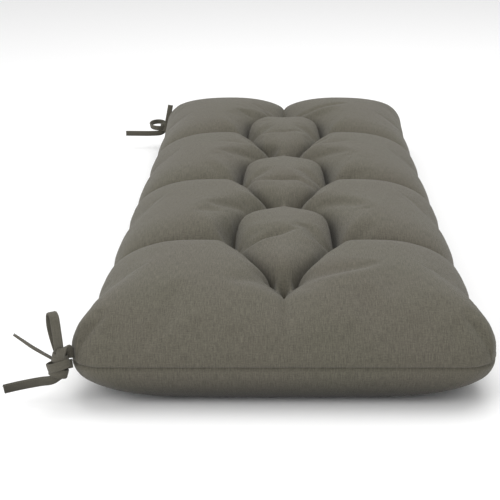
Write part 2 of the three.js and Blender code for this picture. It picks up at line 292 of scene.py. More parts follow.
def places_on(line, x, y):
    """For each piece of a line on the plan: how far points lie from it, and at which share of the line."""
    run = np.diff(line, axis=0)
    length = np.hypot(*run.T)
    before = np.concatenate([[0], np.cumsum(length)])
    for k, (run_x, run_y) in enumerate(run):
        over_x, over_y = x - line[k, 0], y - line[k, 1]
        share = np.clip((over_x * run_x + over_y * run_y) / length[k] ** 2, 0, 1)
        distance = np.hypot(over_x - share * run_x, over_y - share * run_y)
        yield distance, (before[k] + share * length[k]) / before[-1]


def place_on(line, x, y):
    """How far points lie from a line on the plan, and at which share of its length."""
    nearest = np.full_like(x, np.inf)
    place = np.zeros_like(x)
    for distance, share in places_on(line, x, y):
        closer = distance < nearest
        nearest = np.where(closer, distance, nearest)
        place = np.where(closer, share, place)
    return nearest, place


def depth_along(pleat, share):
    """A pleat's depth at a share of its line, with no sudden change on the way."""
    start, middle, end = pleat.depths
    before, after = np.clip(1 - 2 * share, 0, 1), np.clip(2 * share - 1, 0, 1)
    rise = (start - middle) * before**2 * (3 - 2 * before)
    return middle + rise + (end - middle) * after**2 * (3 - 2 * after)


def pleat_dent(x, y):
    """How deep the pleats draw the top down: grooves with round shoulders."""
    dent = np.zeros_like(x)
    full = 1 - (1 - PLEAT_SHARPNESS) ** (1 / PLEAT_FULLNESS)
    for pleat in PLEATS:
        deepest = np.zeros_like(x)
        for distance, share in places_on(pleat.line, x, y):
            near = PLEAT_SHARPNESS * (1 - np.clip(distance / pleat.reach, 0, 1)) ** PLEAT_FULLNESS
            arc = (1 - (1 - near) ** (1 / PLEAT_FULLNESS)) / full
            deepest = np.maximum(deepest, depth_along(pleat, share) * arc)
        dent += deepest**PLEAT_BLEND
    return dent ** (1 / PLEAT_BLEND)


def make_folds():
    folds = [fold._replace(line=np.array(fold.line)) for fold in FOLDS]
    for before, row, depths in zip(TUFT_ROWS, TUFT_ROWS[1:], CREASES):
        for side, depth in zip((-1, 1), depths):
            folds.append(Fold(depth, CREASE_REACH, mound_side(before.along, row.along, side)))
    return folds


ALL_FOLDS = make_folds()


def fold_dent(x, y):
    """How deep the folds and creases lie below the pleated top. They fade at both of their ends."""
    dent = np.zeros_like(x)
    for fold in ALL_FOLDS:
        distance, share = place_on(fold.line, x, y)
        dent += fold.depth * bell(distance, fold.reach) * np.sin(np.pi * share) ** FOLD_FADE
    return dent


def crown_rise(across, along):
    """The crown's height as a share of its full height, without tufts."""
    u, v = np.abs(across), np.abs(along)
    towards_end = np.clip((v - CORNER_START) / (1 - CORNER_START), 0, 1) ** 2
    corner_power = np.where(along < 0, NEAR_CORNER_POWER, FAR_CORNER_POWER)
    side_power = SIDE_POWER + (corner_power - SIDE_POWER) * towards_end
    side_rise = np.sqrt(np.maximum(1 - u**side_power, 0))
    end_rise = np.maximum(1 - v**END_POWER, 0) ** END_SLOPE
    low = np.minimum(side_rise, end_rise) < LEAST_RISE
    side_rise, end_rise = np.maximum(side_rise, LEAST_RISE), np.maximum(end_rise, LEAST_RISE)
    both = side_rise**-CORNER_BLEND + end_rise**-CORNER_BLEND - 1
    return np.where(low, 0, both ** (-1 / CORNER_BLEND))


def top_points(across, along):
    """Points of the tufted top. Across and along are shares of the half width and half length."""
    y = along * HALF_LENGTH
    half_width = half_width_at(y)
    x, y = round_corners(across * half_width, y, half_width, HALF_LENGTH, CORNER_RADIUS)
    rise = crown_rise(across, along)
    inside = np.clip(np.minimum(y - FIRST_ROW, LAST_ROW - y) / MOUND_FADE, 0, 1)
    drop = MOUND_DROP * bell(x, MOUND_WIDTH) * inside**2 * (3 - 2 * inside)
    z = SEAM_HEIGHT + CROWN * rise - (pleat_dent(x, y) + fold_dent(x, y) + drop) * rise**EDGE_FADE
    return np.stack([x, y, z], -1)


# Spacing of the cloth's grid: fine beside the pleats and the seam, coarser between them
PLEAT_STEP = 0.0012
SEAM_STEP = 0.0008
WIDEST_COLUMN = 0.0045
WIDEST_ROW = 0.0029
WIDEST_END_ROW = WIDEST_ROW * 1.3
STEP_GROWTH = 0.22
# how much longer the way over the crown's edge is than its width, as a share of the crown
EDGE_EXTRA = 0.6


def spaced(length, fine_at, widest):
    """Places from 0 to 1 along a length, an even number of cells that are narrow near some places.

    fine_at lists each such place with the step there.
    """
    along = np.linspace(0, length, 4001)
    step = np.full_like(along, widest)
    for place, narrow in fine_at:
        step = np.minimum(step, narrow + STEP_GROWTH * np.abs(along - place))
    count = np.concatenate([[0], np.cumsum(np.diff(along) / ((step[1:] + step[:-1]) / 2))])
    cells = 2 * math.ceil(count[-1] / 2)
    return np.interp(np.linspace(0, count[-1], cells + 1), count, along) / length


def arc_shares(shape, places):
    """Shares of a profile's width that lie at the given shares of its arc length."""
    bend = np.linspace(0, np.pi / 2, 20001)
    width = np.sin(bend)
    height = shape(width)
    arc = np.concatenate([[0], np.cumsum(np.hypot(np.diff(width), np.diff(height)))])
    return np.interp(np.asarray(places) * arc[-1], arc, width)


def column_places():
    """Columns of the grid: 0 is the centre line, 1 the pleats beside the mounds and 2 the seam."""
    spread = TUFT_ROWS[1].spread
    inside = spaced(spread, [(spread, PLEAT_STEP)], WIDEST_COLUMN)
    outside_width = WIDTH / 2 - spread

    def side_profile(share):
        across = (spread + share * outside_width) / (WIDTH / 2)
        return CROWN / outside_width * np.sqrt(np.maximum(1 - across**SIDE_POWER, 0))

    arc = outside_width + EDGE_EXTRA * CROWN
    places = spaced(arc, [(0, PLEAT_STEP), (arc, SEAM_STEP)], WIDEST_COLUMN)
    outside = 1 + arc_shares(side_profile, places)[1:]
    half = np.concatenate([inside, outside])
    return np.concatenate([-half[:0:-1], half])


def row_places():
    """Rows of the grid as shares of the half length."""
    rows = [row.along for row in TUFT_ROWS]

    def end_lines(from_row):
        length = HALF_LENGTH - abs(from_row)

        def end_profile(share):
            along = (abs(from_row) + share * length) / HALF_LENGTH
            return CROWN / length * np.maximum(1 - along**END_POWER, 0) ** END_SLOPE

        arc = length + EDGE_EXTRA * CROWN
        places = spaced(arc, [(0, PLEAT_STEP), (arc, SEAM_STEP)], WIDEST_END_ROW)
        return abs(from_row) + length * arc_shares(end_profile, places)

    near, far = -end_lines(rows[0])[::-1], end_lines(rows[-1])
    middle = []
    for start, end in zip(rows, rows[1:]):
        length = end - start
        places = spaced(length, [(0, PLEAT_STEP), (length, PLEAT_STEP)], WIDEST_ROW)
        middle.append(start + length * places[1:])
    return np.concatenate([near, *middle, far[1:]]) / HALF_LENGTH


def plan_grid():
    """Shares across and along for every point of the top's grid."""
    columns, rows = column_places(), row_places()
    y = rows * HALF_LENGTH
    spread = diamond_half_width(y) / half_width_at(y)
    column = np.abs(columns)[:, None]
    inside = column * spread
    outside = spread + (column - 1) * (1 - spread)
    across = np.sign(columns)[:, None] * np.where(column <= 1, inside, outside)
    return across, np.broadcast_to(rows, across.shape).copy()


def quads_of(index):
    """Faces of a grid of vertex numbers, pointing up when columns run along +X and rows along +Y."""
    corners = [index[:-1, :-1], index[1:, :-1], index[1:, 1:], index[:-1, 1:]]
    return np.stack(corners, -1).reshape(-1, 4)


def rim_of(columns, rows):
    """Grid places round the edge, anticlockwise from above."""
    last_i, last_j = columns - 1, rows - 1
    rim = [(i, 0) for i in range(last_i)]
    rim += [(last_i, j) for j in range(last_j)]
    rim += [(i, last_j) for i in range(last_i, 0, -1)]
    rim += [(0, j) for j in range(last_j, 0, -1)]
    return np.array(rim).T


def lower_ring(across, along, share):
    """Points of one ring of the lower panel. The share runs from 0 at the seam to 1 at the underside."""
    turn = share * math.pi / 2
    inset = LOWER_REACH * (1 - math.cos(turn)) ** LOWER_INSET_POWER
    radius = CORNER_RADIUS + LOWER_ROUNDING * share**LOWER_ROUNDING_POWER
    half_width = half_width_at(along * HALF_LENGTH) - inset
    half_length = HALF_LENGTH - inset
    x, y = round_corners(across * half_width, along * half_length, half_width, half_length, radius)
    corner = np.abs(across) ** LIFT_ACROSS_POWER * np.abs(along) ** LIFT_ALONG_POWER
    lift = LOWER_CORNER_LIFT * max(math.sin(2 * turn), 0) ** LIFT_POWER * corner
    z = SEAM_HEIGHT * (1 - math.sin(turn) ** LOWER_HEIGHT_POWER + lift)
    return np.stack([x, y, z], -1)


# Cloth simulation of the top panel, on a grid with closer lines towards the seam
CLOTH_COLUMNS = 80
CLOTH_ROWS = 190
COLUMN_CROWDING = 0.30
ROW_CROWDING = 0.14
CLOTH_FRAMES = 20
CLOTH_SURPLUS = 0.011
CLOTH_CAP = 0.014
CLOTH_SETTINGS = {
    "quality": 5,
    "mass": 0.15,
    "tension_stiffness": 15,
    "compression_stiffness": 15,
    "shear_stiffness": 5,
    "bending_stiffness": 2.0,
    "tension_damping": 5,
    "compression_damping": 5,
    "shear_damping": 5,
    "bending_damping": 0.5,
    "air_damping": 4,
    "use_pressure": True,
    "uniform_pressure_force": 3.0,
    "shrink_min": -CLOTH_SURPLUS,
    "shrink_max": -CLOTH_SURPLUS,
    "pin_stiffness": 1.0,
}

# How firmly the cloth is held, from 0 to 1: along the pleats, at the seam and on the near end. A pleat
# holds up to its edge times its reach, and a tuft too. A pleat of less than full depth holds less.
PLEAT_PIN = 0.6
PLEAT_PIN_REACH = 0.007
PLEAT_PIN_EDGE = 1.2
FULL_PIN_DEPTH = 0.03
TUFT_PIN_REACH = 0.008
TUFT_PIN_EDGE = 1.6
RIM_PIN = 0.9
NEAR_END_PIN = 0.12
NEAR_END_FROM = FIRST_ROW - 0.02

# Above the seam the swelling grows to its full size over this height
SWELL_HEIGHT = 0.040


def pin_weights(points, rim_count):
    """How firmly each point is held: fully at the tufts, partly along the pleats and the seam."""
    x, y = points[..., 0], points[..., 1]
    weight = np.where(y < NEAR_END_FROM, NEAR_END_PIN, 0.0)
    for pleat in PLEATS:
        distance, share = place_on(pleat.line, x, y)
        deep = np.clip(depth_along(pleat, share) / FULL_PIN_DEPTH, 0, 1)
        held = PLEAT_PIN * np.clip(PLEAT_PIN_EDGE - distance / PLEAT_PIN_REACH, 0, 1) * deep
        weight = np.maximum(weight, held)
    for row in TUFT_ROWS:
        for side in (-1, 1):
            distance = np.hypot(x - side * row.spread, y - row.along)
            held = np.clip(TUFT_PIN_EDGE - distance / TUFT_PIN_REACH, 0, 1)
            weight = np.maximum(weight, held)
    edges = (weight[:rim_count], weight[-rim_count:], weight[:, :rim_count], weight[:, -rim_count:])
    for edge in edges:
        np.maximum(edge, RIM_PIN, out=edge)
    return weight


def crowded_lines(count, crowding):
    """Places from -1 to 1 that lie a little closer together towards both ends."""
    even = np.linspace(-1, 1, count + 1)
    return even * (1 - crowding) + crowding * np.sin(even * math.pi / 2)


def settle_cloth():
    """Lets the top swell and wrinkle between its tufts. Returns its grid and how far each point moves."""
    across = crowded_lines(CLOTH_COLUMNS, COLUMN_CROWDING)
    along = crowded_lines(CLOTH_ROWS, ROW_CROWDING)
    top = top_points(*np.meshgrid(across, along, indexing="ij"))
    columns, rows = top.shape[:2]
    index = np.arange(columns * rows).reshape(columns, rows)
    rim = index[tuple(rim_of(columns, rows))]
    points = np.vstack([top.reshape(-1, 3), [(0, 0, 0)]])
    middle = np.full(len(rim), columns * rows)
    faces = quads_of(index).tolist() + np.stack([np.roll(rim, -1), rim, middle], -1).tolist()
    mesh = bpy.data.meshes.new("settling_cloth")
    mesh.from_pydata(points.tolist(), [], faces)
    cloth = bpy.data.objects.new("settling_cloth", mesh)
    put_in_scene(cloth)

    weight = np.round(np.append(pin_weights(top, 2), 1.0), 2)
    group = cloth.vertex_groups.new(name="held")
    for level in np.unique(weight[weight > 0]):
        group.add(np.nonzero(weight == level)[0].tolist(), float(level), "REPLACE")

    modifier = cloth.modifiers.new("cloth", "CLOTH")
    settings = modifier.settings
    for name, value in CLOTH_SETTINGS.items():
        setattr(settings, name, value)
    settings.vertex_group_mass = "held"
    settings.effector_weights.gravity = 0
    modifier.collision_settings.use_collision = False
    modifier.collision_settings.use_self_collision = False
    for step in range(1, CLOTH_FRAMES + 1):
        bpy.context.scene.frame_set(step)
    settled = cloth.evaluated_get(bpy.context.evaluated_depsgraph_get())
    moved = np.empty(len(points) * 3)
    settled.data.vertices.foreach_get("co", moved)
    bpy.data.objects.remove(cloth)
    bpy.data.meshes.remove(mesh)

    move = moved.reshape(-1, 3)[: columns * rows] - points[: columns * rows]
    length = np.linalg.norm(move, axis=1, keepdims=True)
    move *= np.minimum(1, CLOTH_CAP / np.maximum(length, LEAST_LENGTH))
    return across, along, move.reshape(columns, rows, 3)


def cubic_weights(s):
    """Weights of four neighbours for a smooth value at a share of the way between the middle two."""
    return (
        (-s + 2 * s**2 - s**3) / 2,
        (2 - 5 * s**2 + 3 * s**3) / 2,
        (s + 4 * s**2 - 3 * s**3) / 2,
        (s**3 - s**2) / 2,
    )


def values_at(grid_across, grid_along, values, across, along):
    """Smooth values at places between the points of a grid."""
    place_i = np.interp(across, grid_across, np.arange(len(grid_across)))
    place_j = np.interp(along, grid_along, np.arange(len(grid_along)))
    i, j = place_i.astype(int), place_j.astype(int)
    total = 0
    for di, weight_i in zip((-1, 0, 1, 2), cubic_weights(place_i - i)):
        for dj, weight_j in zip((-1, 0, 1, 2), cubic_weights(place_j - j)):
            near_i = np.clip(i + di, 0, len(grid_across) - 1)
            near_j = np.clip(j + dj, 0, len(grid_along) - 1)
            total = total + (weight_i * weight_j)[..., None] * values[near_i, near_j]
    return total


def outward_at(x, y):
    """Unit vectors on the plan that point away from the middle, square to the seam."""
    over_x = np.maximum(np.abs(x) - (half_width_at(y) - CORNER_RADIUS), 0)
    over_y = np.maximum(np.abs(y) - (HALF_LENGTH - CORNER_RADIUS), 0)
    length = np.maximum(np.hypot(over_x, over_y), LEAST_LENGTH)
    return np.stack([np.sign(x) * over_x / length, np.sign(y) * over_y / length], -1)


def seam_profile(height):
    """How far the cloth stands out near the seam, at a height above or below it."""
    groove = -SEAM_GROOVE * bell(height, SEAM_GROOVE_WIDTH)
    return groove + SEAM_ROLL * bell(np.abs(height) - SEAM_ROLL_AT, SEAM_ROLL_WIDTH)


def cloth_lengths(across, along):
    """Where each point of the top lies on its flat panel, measured over the crown from the middle."""
    rise = CROWN * crown_rise(across, along)
    y = along * HALF_LENGTH
    half_width = half_width_at(y)
    x, y = round_corners(across * half_width, y, half_width, HALF_LENGTH, CORNER_RADIUS)
    over_x = np.hypot(np.diff(x, axis=0), np.diff(rise, axis=0))
    over_y = np.hypot(np.diff(y, axis=1), np.diff(rise, axis=1))
    u = np.concatenate([np.zeros((1, x.shape[1])), np.cumsum(over_x, 0)])
    v = np.concatenate([np.zeros((x.shape[0], 1)), np.cumsum(over_y, 1)], 1)
    u -= u[len(u) // 2]
    v -= v[:, [v.shape[1] // 2]]
    return np.stack([u, v], -1)


def add_mesh(name, points, faces, panel, material):
    """A mesh object. The panel holds each point's place on the flat cloth, kept as a UV map."""
    mesh = bpy.data.meshes.new(name)
    mesh.from_pydata(points.tolist(), [], faces)
    layer = mesh.uv_layers.new(name="cloth")
    corner = np.empty(len(mesh.loops), np.int32)
    mesh.loops.foreach_get("vertex_index", corner)
    layer.data.foreach_set("uv", np.asarray(panel)[corner].astype(np.float32).ravel())
    mesh.polygons.foreach_set("use_smooth", [True] * len(mesh.polygons))
    mesh.materials.append(material)
    thing = bpy.data.objects.new(name, mesh)
    put_in_scene(thing)
    return thing


def make_cushion(material):
    across, along = plan_grid()
    top = top_points(across, along)
    # the cloth's swelling grows from nothing at the seam
    height = np.clip((top[..., 2:] - SEAM_HEIGHT) / SWELL_HEIGHT, 0, 1)
    top = top + values_at(*settle_cloth(), across, along) * height**2 * (3 - 2 * height)
    columns, rows = across.shape
    rim = rim_of(columns, rows)
    seam = top_points(across[tuple(rim)], along[tuple(rim)])[:, :2]
    outward = outward_at(*seam.T)
    away = outward_at(top[..., 0], top[..., 1])
    top[..., :2] += away * seam_profile(top[..., 2] - SEAM_HEIGHT)[..., None]
    top[tuple(rim)] = np.column_stack([seam - outward * SEAM_GROOVE, np.full(len(seam), SEAM_HEIGHT)])

    index = np.arange(columns * rows).reshape(columns, rows)
    points = [top.reshape(-1, 3)]
    panel = [cloth_lengths(across, along).reshape(-1, 2)]
    faces = quads_of(index).tolist()

    # the lower panel has half as many points round it, so its first ring takes two of the rim's cells
    loop = index[tuple(rim)]
    rim_across, rim_along = across[tuple(rim)][::2], along[tuple(rim)][::2]
    rim_out, rim_panel = outward[::2], panel[0][loop][::2]
    count = len(rim_across)
    arc = np.zeros(count)
    before = points[0][loop][::2]
    ring = None
    for k in range(1, LOWER_RINGS + 1):
        place = lower_ring(rim_across, rim_along, (k / LOWER_RINGS) ** LOWER_SPACING)
        place[:, :2] += rim_out * seam_profile(place[:, 2] - SEAM_HEIGHT)[:, None]
        arc = arc + np.linalg.norm(place - before, axis=1)
        before = place
        start = sum(len(part) for part in points)
        new = start + np.arange(count)
        points.append(place)
        panel.append(rim_panel + rim_out * arc[:, None])
        following = np.roll(new, -1)
        if ring is None:
            middle, last = loop[1::2], np.roll(loop[::2], -1)
            faces += np.stack([loop[::2], new, middle], -1).tolist()
            faces += np.stack([new, following, middle], -1).tolist()
            faces += np.stack([following, last, middle], -1).tolist()
        else:
            faces += np.stack([ring, new, following, np.roll(ring, -1)], -1).tolist()
        ring = new
    faces.append(ring[::-1].tolist())
    return add_mesh("cushion_cover", np.vstack(points), faces, np.vstack(panel), material)


# Ties: a strip folded to four layers and stitched flat. Each leaves the seam a little clear of it, partway
# round the corner.
TIE_WIDTH = 0.010
TIE_THICKNESS = 0.0020
TIE_GAP = 0.0005
TIE_ANGLE = math.pi / 5
TIE_STEP = 0.0015
SECTION_POINTS = 16
SECTION_POWER = 0.55
WRAP_PIECES = 24
KNOT_PIECES = 24

# One row of stitches holds the strip's open edge and shows on both of its faces
STITCH_INSET = 0.0016
STITCH_PITCH = 0.0027
STITCH_LENGTH = 0.0019
STITCH_SHORTEST, STITCH_LONGEST = 0.85, 1.10
STITCH_LIFT = 0.47
THREAD_RADIUS = 0.00028
THREAD_SIDES = 6

TIE_X = -(half_width_at(HALF_LENGTH) - CORNER_RADIUS * (1 - math.cos(TIE_ANGLE))) - TIE_GAP
TIE_FROM_MIDDLE = HALF_LENGTH - CORNER_RADIUS * (1 - math.sin(TIE_ANGLE)) + TIE_GAP

# Each strip's middle line, in millimetres from where the tie leaves the seam and up from the floor,
# with the direction in which its width lies there
Bend = namedtuple("Bend", "at width")
NEAR_STRIPS = {
    "root": [
        Bend((-0.5, -1, 50), (0, 0.2, 1)),
        Bend((-4, -3, 50), (0, 0.2, 1)),
        Bend((-9, -4, 50), (0, 0.2, 1)),
    ],
    "loop": [
        Bend((-12, -5, 52), (1, 0.1, 0)),
        Bend((-12.5, -7, 66), (1, 0.1, 0)),
        Bend((-12.5, -9, 79), (1, 0.1, 0)),
        Bend((-13, -10, 91), (1, 0.1, 0)),
        Bend((-14, -9, 102), (1, 0.15, 0)),
        Bend((-15.5, -6, 107), (1, 0.3, 0)),
        Bend((-18.5, -1, 109), (1, 0.5, 0)),
        Bend((-21.5, 4, 104), (0.8, 0.6, 0)),
        Bend((-22.5, 6, 92), (0.7, 0.7, 0)),
        Bend((-20, 5, 78), (0.8, 0.6, 0)),
        Bend((-16, 2, 65), (0.9, 0.5, 0)),
        Bend((-12, 0, 54), (1, 0.3, 0)),
    ],
    "ear": [
        Bend((-11, -9, 58), (1, 0, 0.1)),
        Bend((-10, -12, 66), (1, 0, 0.15)),
        Bend((-8, -10, 71), (1, 0.1, 0.3)),
        Bend((-5, -4, 70), (0.9, 0.3, 0.35)),
        Bend((-3.5, 0, 64), (0.9, 0.4, 0.2)),
        Bend((-3.5, 0, 56), (1, 0.2, 0)),
    ],
    "upper_tail": [
        Bend((-17, -3, 54), (-0.1, 1, -0.25)),
        Bend((-26, -4, 60), (-0.1, 1, -0.25)),
        Bend((-41, -4, 70), (-0.1, 1, -0.20)),
        Bend((-52, -3, 78), (-0.1, 1, -0.30)),
        Bend((-60.5, -2, 84), (-0.1, 1, -0.36)),
    ],
    "lower_tail": [
        Bend((-13, -9, 40), (0.4, 0.2, 1)),
        Bend((-22, -11, 35), (0.3, 0.2, 1)),
        Bend((-35, -10, 32.5), (0.1, 0.3, 1)),
        Bend((-57, -8, 27), (0.1, 0.3, 1)),
        Bend((-75, -7, 22), (0.1, 0.3, 1)),
    ],
}
FAR_STRIPS = {
    "root": [
        Bend((-0.5, 1, 50), (0, 0.2, 1)),
        Bend((-3, 1, 49), (0, 0.2, 1)),
        Bend((-7, 1, 47), (0, 0.2, 1)),
    ],
    "loop": [
        Bend((-8, 0, 46), (0, -0.3, 1)),
        Bend((-14, 12, 48.5), (0, -0.3, 1)),
        Bend((-25, 16, 49.5), (0, -0.3, 1)),
        Bend((-36, 10, 49), (-0.1, -0.3, 1)),
        Bend((-40, -2, 47), (-0.1, -0.3, 1)),
        Bend((-34, -13, 45), (0, -0.3, 1)),
        Bend((-21, -15, 43.5), (0, -0.3, 1)),
        Bend((-9, -5, 43), (0, -0.3, 1)),
    ],
    "upper_tail": [
        Bend((-8, -2, 45), (1, 0.1, 0.1)),
        Bend((-5, -3, 56), (1, 0.1, 0.05)),
        Bend((-2, -3, 70), (1, 0.1, -0.05)),
        Bend((1.5, -2, 87), (1, 0.1, -0.1)),
    ],
    "lower_tail": [
        Bend((-10, -4, 38), (0.3, 0.3, 1)),
        Bend((-20, -10, 33), (0.1, 0.3, 1)),
        Bend((-38, -12, 32), (0, 0.3, 1)),
        Bend((-60, -12, 32), (0, 0.3, 1)),
        Bend((-88, -11, 32), (0, 0.3, 1)),
    ],
}

# Wraps of the knot: the middle of each, the axis that it goes round, and its size across and front to back
Wrap = namedtuple("Wrap", "at axis size")
NEAR_WRAPS = [
    Wrap((-14.5, -6, 50.5), (-0.32, 0.15, 1), (12.0, 8.5)),
    Wrap((-15.0, -6, 42.5), (0.28, 0.20, 1), (9.5, 8.0)),
    Wrap((-13.0, -5, 58.5), (0.25, 0.10, 1), (7.5, 6.5)),
]
FAR_WRAPS = [
    Wrap((-9.5, -1, 46), (-0.30, 0.15, 1), (9.0, 8.0)),
    Wrap((-11, -3, 38.5), (0.35, 0.20, 1), (8.0, 7.5)),
]


def smooth_line(knots, step):
    """A smooth line through the given points, in even steps of about the given length."""
    knots = np.asarray(knots, float)
    padded = np.vstack([2 * knots[0] - knots[1], knots, 2 * knots[-1] - knots[-2]])
    t = np.linspace(0, 1, KNOT_PIECES, endpoint=False)[:, None]
    pieces = []
    for a, b, c, d in zip(padded, padded[1:], padded[2:], padded[3:]):
        square = (2 * a - 5 * b + 4 * c - d) * t**2
        cube = (3 * b - a - 3 * c + d) * t**3
        pieces.append(0.5 * (2 * b + (c - a) * t + square + cube))
    line = np.vstack(pieces + [knots[-1:]])
    length = lengths_along(line[:, :3])
    count = max(4, round(length[-1] / step))
    even = np.linspace(0, length[-1], count + 1)
    return np.stack([np.interp(even, length, line[:, k]) for k in range(line.shape[1])], -1)


def strip_section():
    """The folded strip's section: flat faces, round folded edges."""
    turn = np.linspace(0, 2 * math.pi, SECTION_POINTS, endpoint=False)
    flat = np.sign(np.cos(turn)) * np.abs(np.cos(turn)) ** SECTION_POWER
    thick = np.sign(np.sin(turn)) * np.abs(np.sin(turn)) ** SECTION_POWER
    return np.stack([flat * TIE_WIDTH / 2, thick * TIE_THICKNESS / 2], -1)


def strip_directions(line, wide, closed=False):
    """Unit vectors across a strip that follows a line, and out of its face."""
    run = np.gradient(line, axis=0)
    if closed:
        run[0] = run[-1] = line[1] - line[-2]
    run /= np.linalg.norm(run, axis=1, keepdims=True)
    wide = wide - (wide * run).sum(1, keepdims=True) * run
    wide /= np.linalg.norm(wide, axis=1, keepdims=True)
    return wide, np.cross(run, wide)


def sweep_strip(line, wide, closed):
    """Points, faces, cloth places and length of a strip that follows a line."""
    wide, face = strip_directions(line, wide, closed)
    section = strip_section()
    ring = line[:, None] + wide[:, None] * section[None, :, :1] + face[:, None] * section[None, :, 1:]
    count, around = ring.shape[:2]
    length = lengths_along(line)
    panel = np.stack(np.broadcast_arrays(section[None, :, 0], length[:, None]), -1)
    if closed:
        count -= 1
        ring, panel = ring[:-1], panel[:-1]
    index = np.arange(count * around).reshape(count, around)
    faces = []
    for k in range(count if closed else count - 1):
        here, there = index[k], index[(k + 1) % count]
        faces += np.stack([here, there, np.roll(there, -1), np.roll(here, -1)], -1).tolist()
    if not closed:
        faces += [index[0].tolist(), index[-1][::-1].tolist()]
    return ring.reshape(-1, 3), faces, panel.reshape(-1, 2), length[-1]


def stitch_lines(line, wide):
    """The lines of the stitches on both faces of a strip, beside its open edge."""
    wide, face = strip_directions(line, wide)
    edge = line + wide * (TIE_WIDTH / 2 - STITCH_INSET)
    return [edge + face * side * TIE_THICKNESS * STITCH_LIFT for side in (-1, 1)]


def add_node(tree, kind, inputs=(), **settings):
    """A node. Inputs are pairs of a socket's name or number and its value or link."""
    node = tree.nodes.new(kind)
    for key, value in settings.items():
        setattr(node, key, value)
    for socket, value in inputs:
        if isinstance(value, bpy.types.NodeSocket):
            tree.links.new(value, node.inputs[socket])
        else:
            node.inputs[socket].default_value = value
    return node


def add_sockets(tree, direction, kinds):
    """Gives a node group its inputs or its outputs, each with the kind of its values."""
    for name, kind in kinds.items():
        tree.interface.new_socket(name=name, in_out=direction, socket_type="NodeSocket" + kind)


def make_stitch_nodes(material):
    """Geometry Nodes: a stitch at every pitch along each line of a mesh, a little uneven in length."""
    tree = bpy.data.node_groups.new("stitch_row", "GeometryNodeTree")
    add_sockets(tree, "INPUT", {
        "Lines": "Geometry",
        "Pitch": "Float",
        "Stitch length": "Float",
        "Thread radius": "Float",
        "Seed": "Int",
    })
    add_sockets(tree, "OUTPUT", {"Stitches": "Geometry"})
    given = tree.nodes.new("NodeGroupInput").outputs
    result = tree.nodes.new("NodeGroupOutput").inputs
    curve = add_node(tree, "GeometryNodeMeshToCurve", [("Mesh", given["Lines"])])
    inputs = [("Curve", curve.outputs[0]), ("Length", given["Pitch"])]
    places = add_node(tree, "GeometryNodeCurveToPoints", inputs, mode="LENGTH")
    inputs = [("Vector", places.outputs["Tangent"])]
    turn = add_node(tree, "FunctionNodeAlignRotationToVector", inputs, axis="Z")
    stitch = add_node(tree, "GeometryNodeMeshCylinder", [
        ("Vertices", THREAD_SIDES),
        ("Radius", given["Thread radius"]),
        ("Depth", given["Stitch length"]),
    ])
    # inputs 2 and 3 are the least and the greatest value of a random number
    inputs = [("Seed", given["Seed"]), (2, STITCH_SHORTEST), (3, STITCH_LONGEST)]
    uneven = add_node(tree, "FunctionNodeRandomValue", inputs, data_type="FLOAT")
    laid = add_node(tree, "GeometryNodeInstanceOnPoints", [
        ("Points", places.outputs["Points"]),
        ("Instance", stitch.outputs["Mesh"]),
        ("Rotation", turn.outputs[0]),
        ("Scale", uneven.outputs[1]),
    ])
    solid = add_node(tree, "GeometryNodeRealizeInstances", [(0, laid.outputs[0])])
    inputs = [("Geometry", solid.outputs[0]), ("Material", material)]
    coloured = add_node(tree, "GeometryNodeSetMaterial", inputs)
    tree.links.new(coloured.outputs[0], result["Stitches"])
    return tree


def make_stitches(name, lines, tree, seed):
    """A mesh of stitches along the given lines."""
    edges, start = [], 0
    for line in lines:
        edges += [(start + k, start + k + 1) for k in range(len(line) - 1)]
        start += len(line)
    mesh = bpy.data.meshes.new(name + "_lines")
    mesh.from_pydata(np.vstack(lines).tolist(), edges, [])
    carrier = bpy.data.objects.new(name + "_lines", mesh)
    put_in_scene(carrier)
    modifier = carrier.modifiers.new("stitches", "NODES")
    modifier.node_group = tree
    values = {
        "Pitch": STITCH_PITCH,
        "Stitch length": STITCH_LENGTH,
        "Thread radius": THREAD_RADIUS,
        "Seed": seed,
    }
    for item in tree.interface.items_tree:
        if item.name in values:
            modifier[item.identifier] = values[item.name]
    ready = carrier.evaluated_get(bpy.context.evaluated_depsgraph_get())
    stitches = bpy.data.objects.new(name, bpy.data.meshes.new_from_object(ready))
    put_in_scene(stitches)
    carrier.modifiers.remove(modifier)
    bpy.data.objects.remove(carrier)
    return stitches


def wrap_line(wrap):
    """The middle line of one turn of a knot, in millimetres, and the direction of its width."""
    axis = np.array(wrap.axis, float)
    axis /= np.linalg.norm(axis)
    first = np.cross(axis, (0, 1, 0))
    first /= np.linalg.norm(first)
    second = np.cross(axis, first)
    turn = np.linspace(0, 2 * math.pi, WRAP_PIECES + 1)[:, None]
    line = np.array(wrap.at) + first * wrap.size[0] * np.cos(turn) + second * wrap.size[1] * np.sin(turn)
    return line, np.repeat(axis[None], len(line), 0)


def make_tie(name, root_y, strips, wraps, material):
    """A tie in a bow. Returns it with its strips' whole length and the lines of its stitches."""
    origin = np.array([TIE_X, root_y, 0])
    parts, seams = [], []
    for bends in strips.values():
        # the widths take part in the smoothing too, scaled to the size of the places
        table = [[*bend.at, *np.array(bend.width) * 10] for bend in bends]
        line = smooth_line(table, TIE_STEP * 1000)
        place = origin + line[:, :3] / 1000
        parts.append(sweep_strip(place, line[:, 3:], False))
        seams += stitch_lines(place, line[:, 3:])
    for wrap in wraps:
        line, wide = wrap_line(wrap)
        parts.append(sweep_strip(origin + line / 1000, wide, True))
    points, faces, panel, total = [], [], [], 0
    for ring, part_faces, part_panel, length in parts:
        start = sum(len(part) for part in points)
        points.append(ring)
        panel.append(part_panel + (0, total))
        faces += [[corner + start for corner in face] for face in part_faces]
        total += length
    tie = add_mesh(name, np.vstack(points), faces, np.vstack(panel), material)
    return tie, total, seams


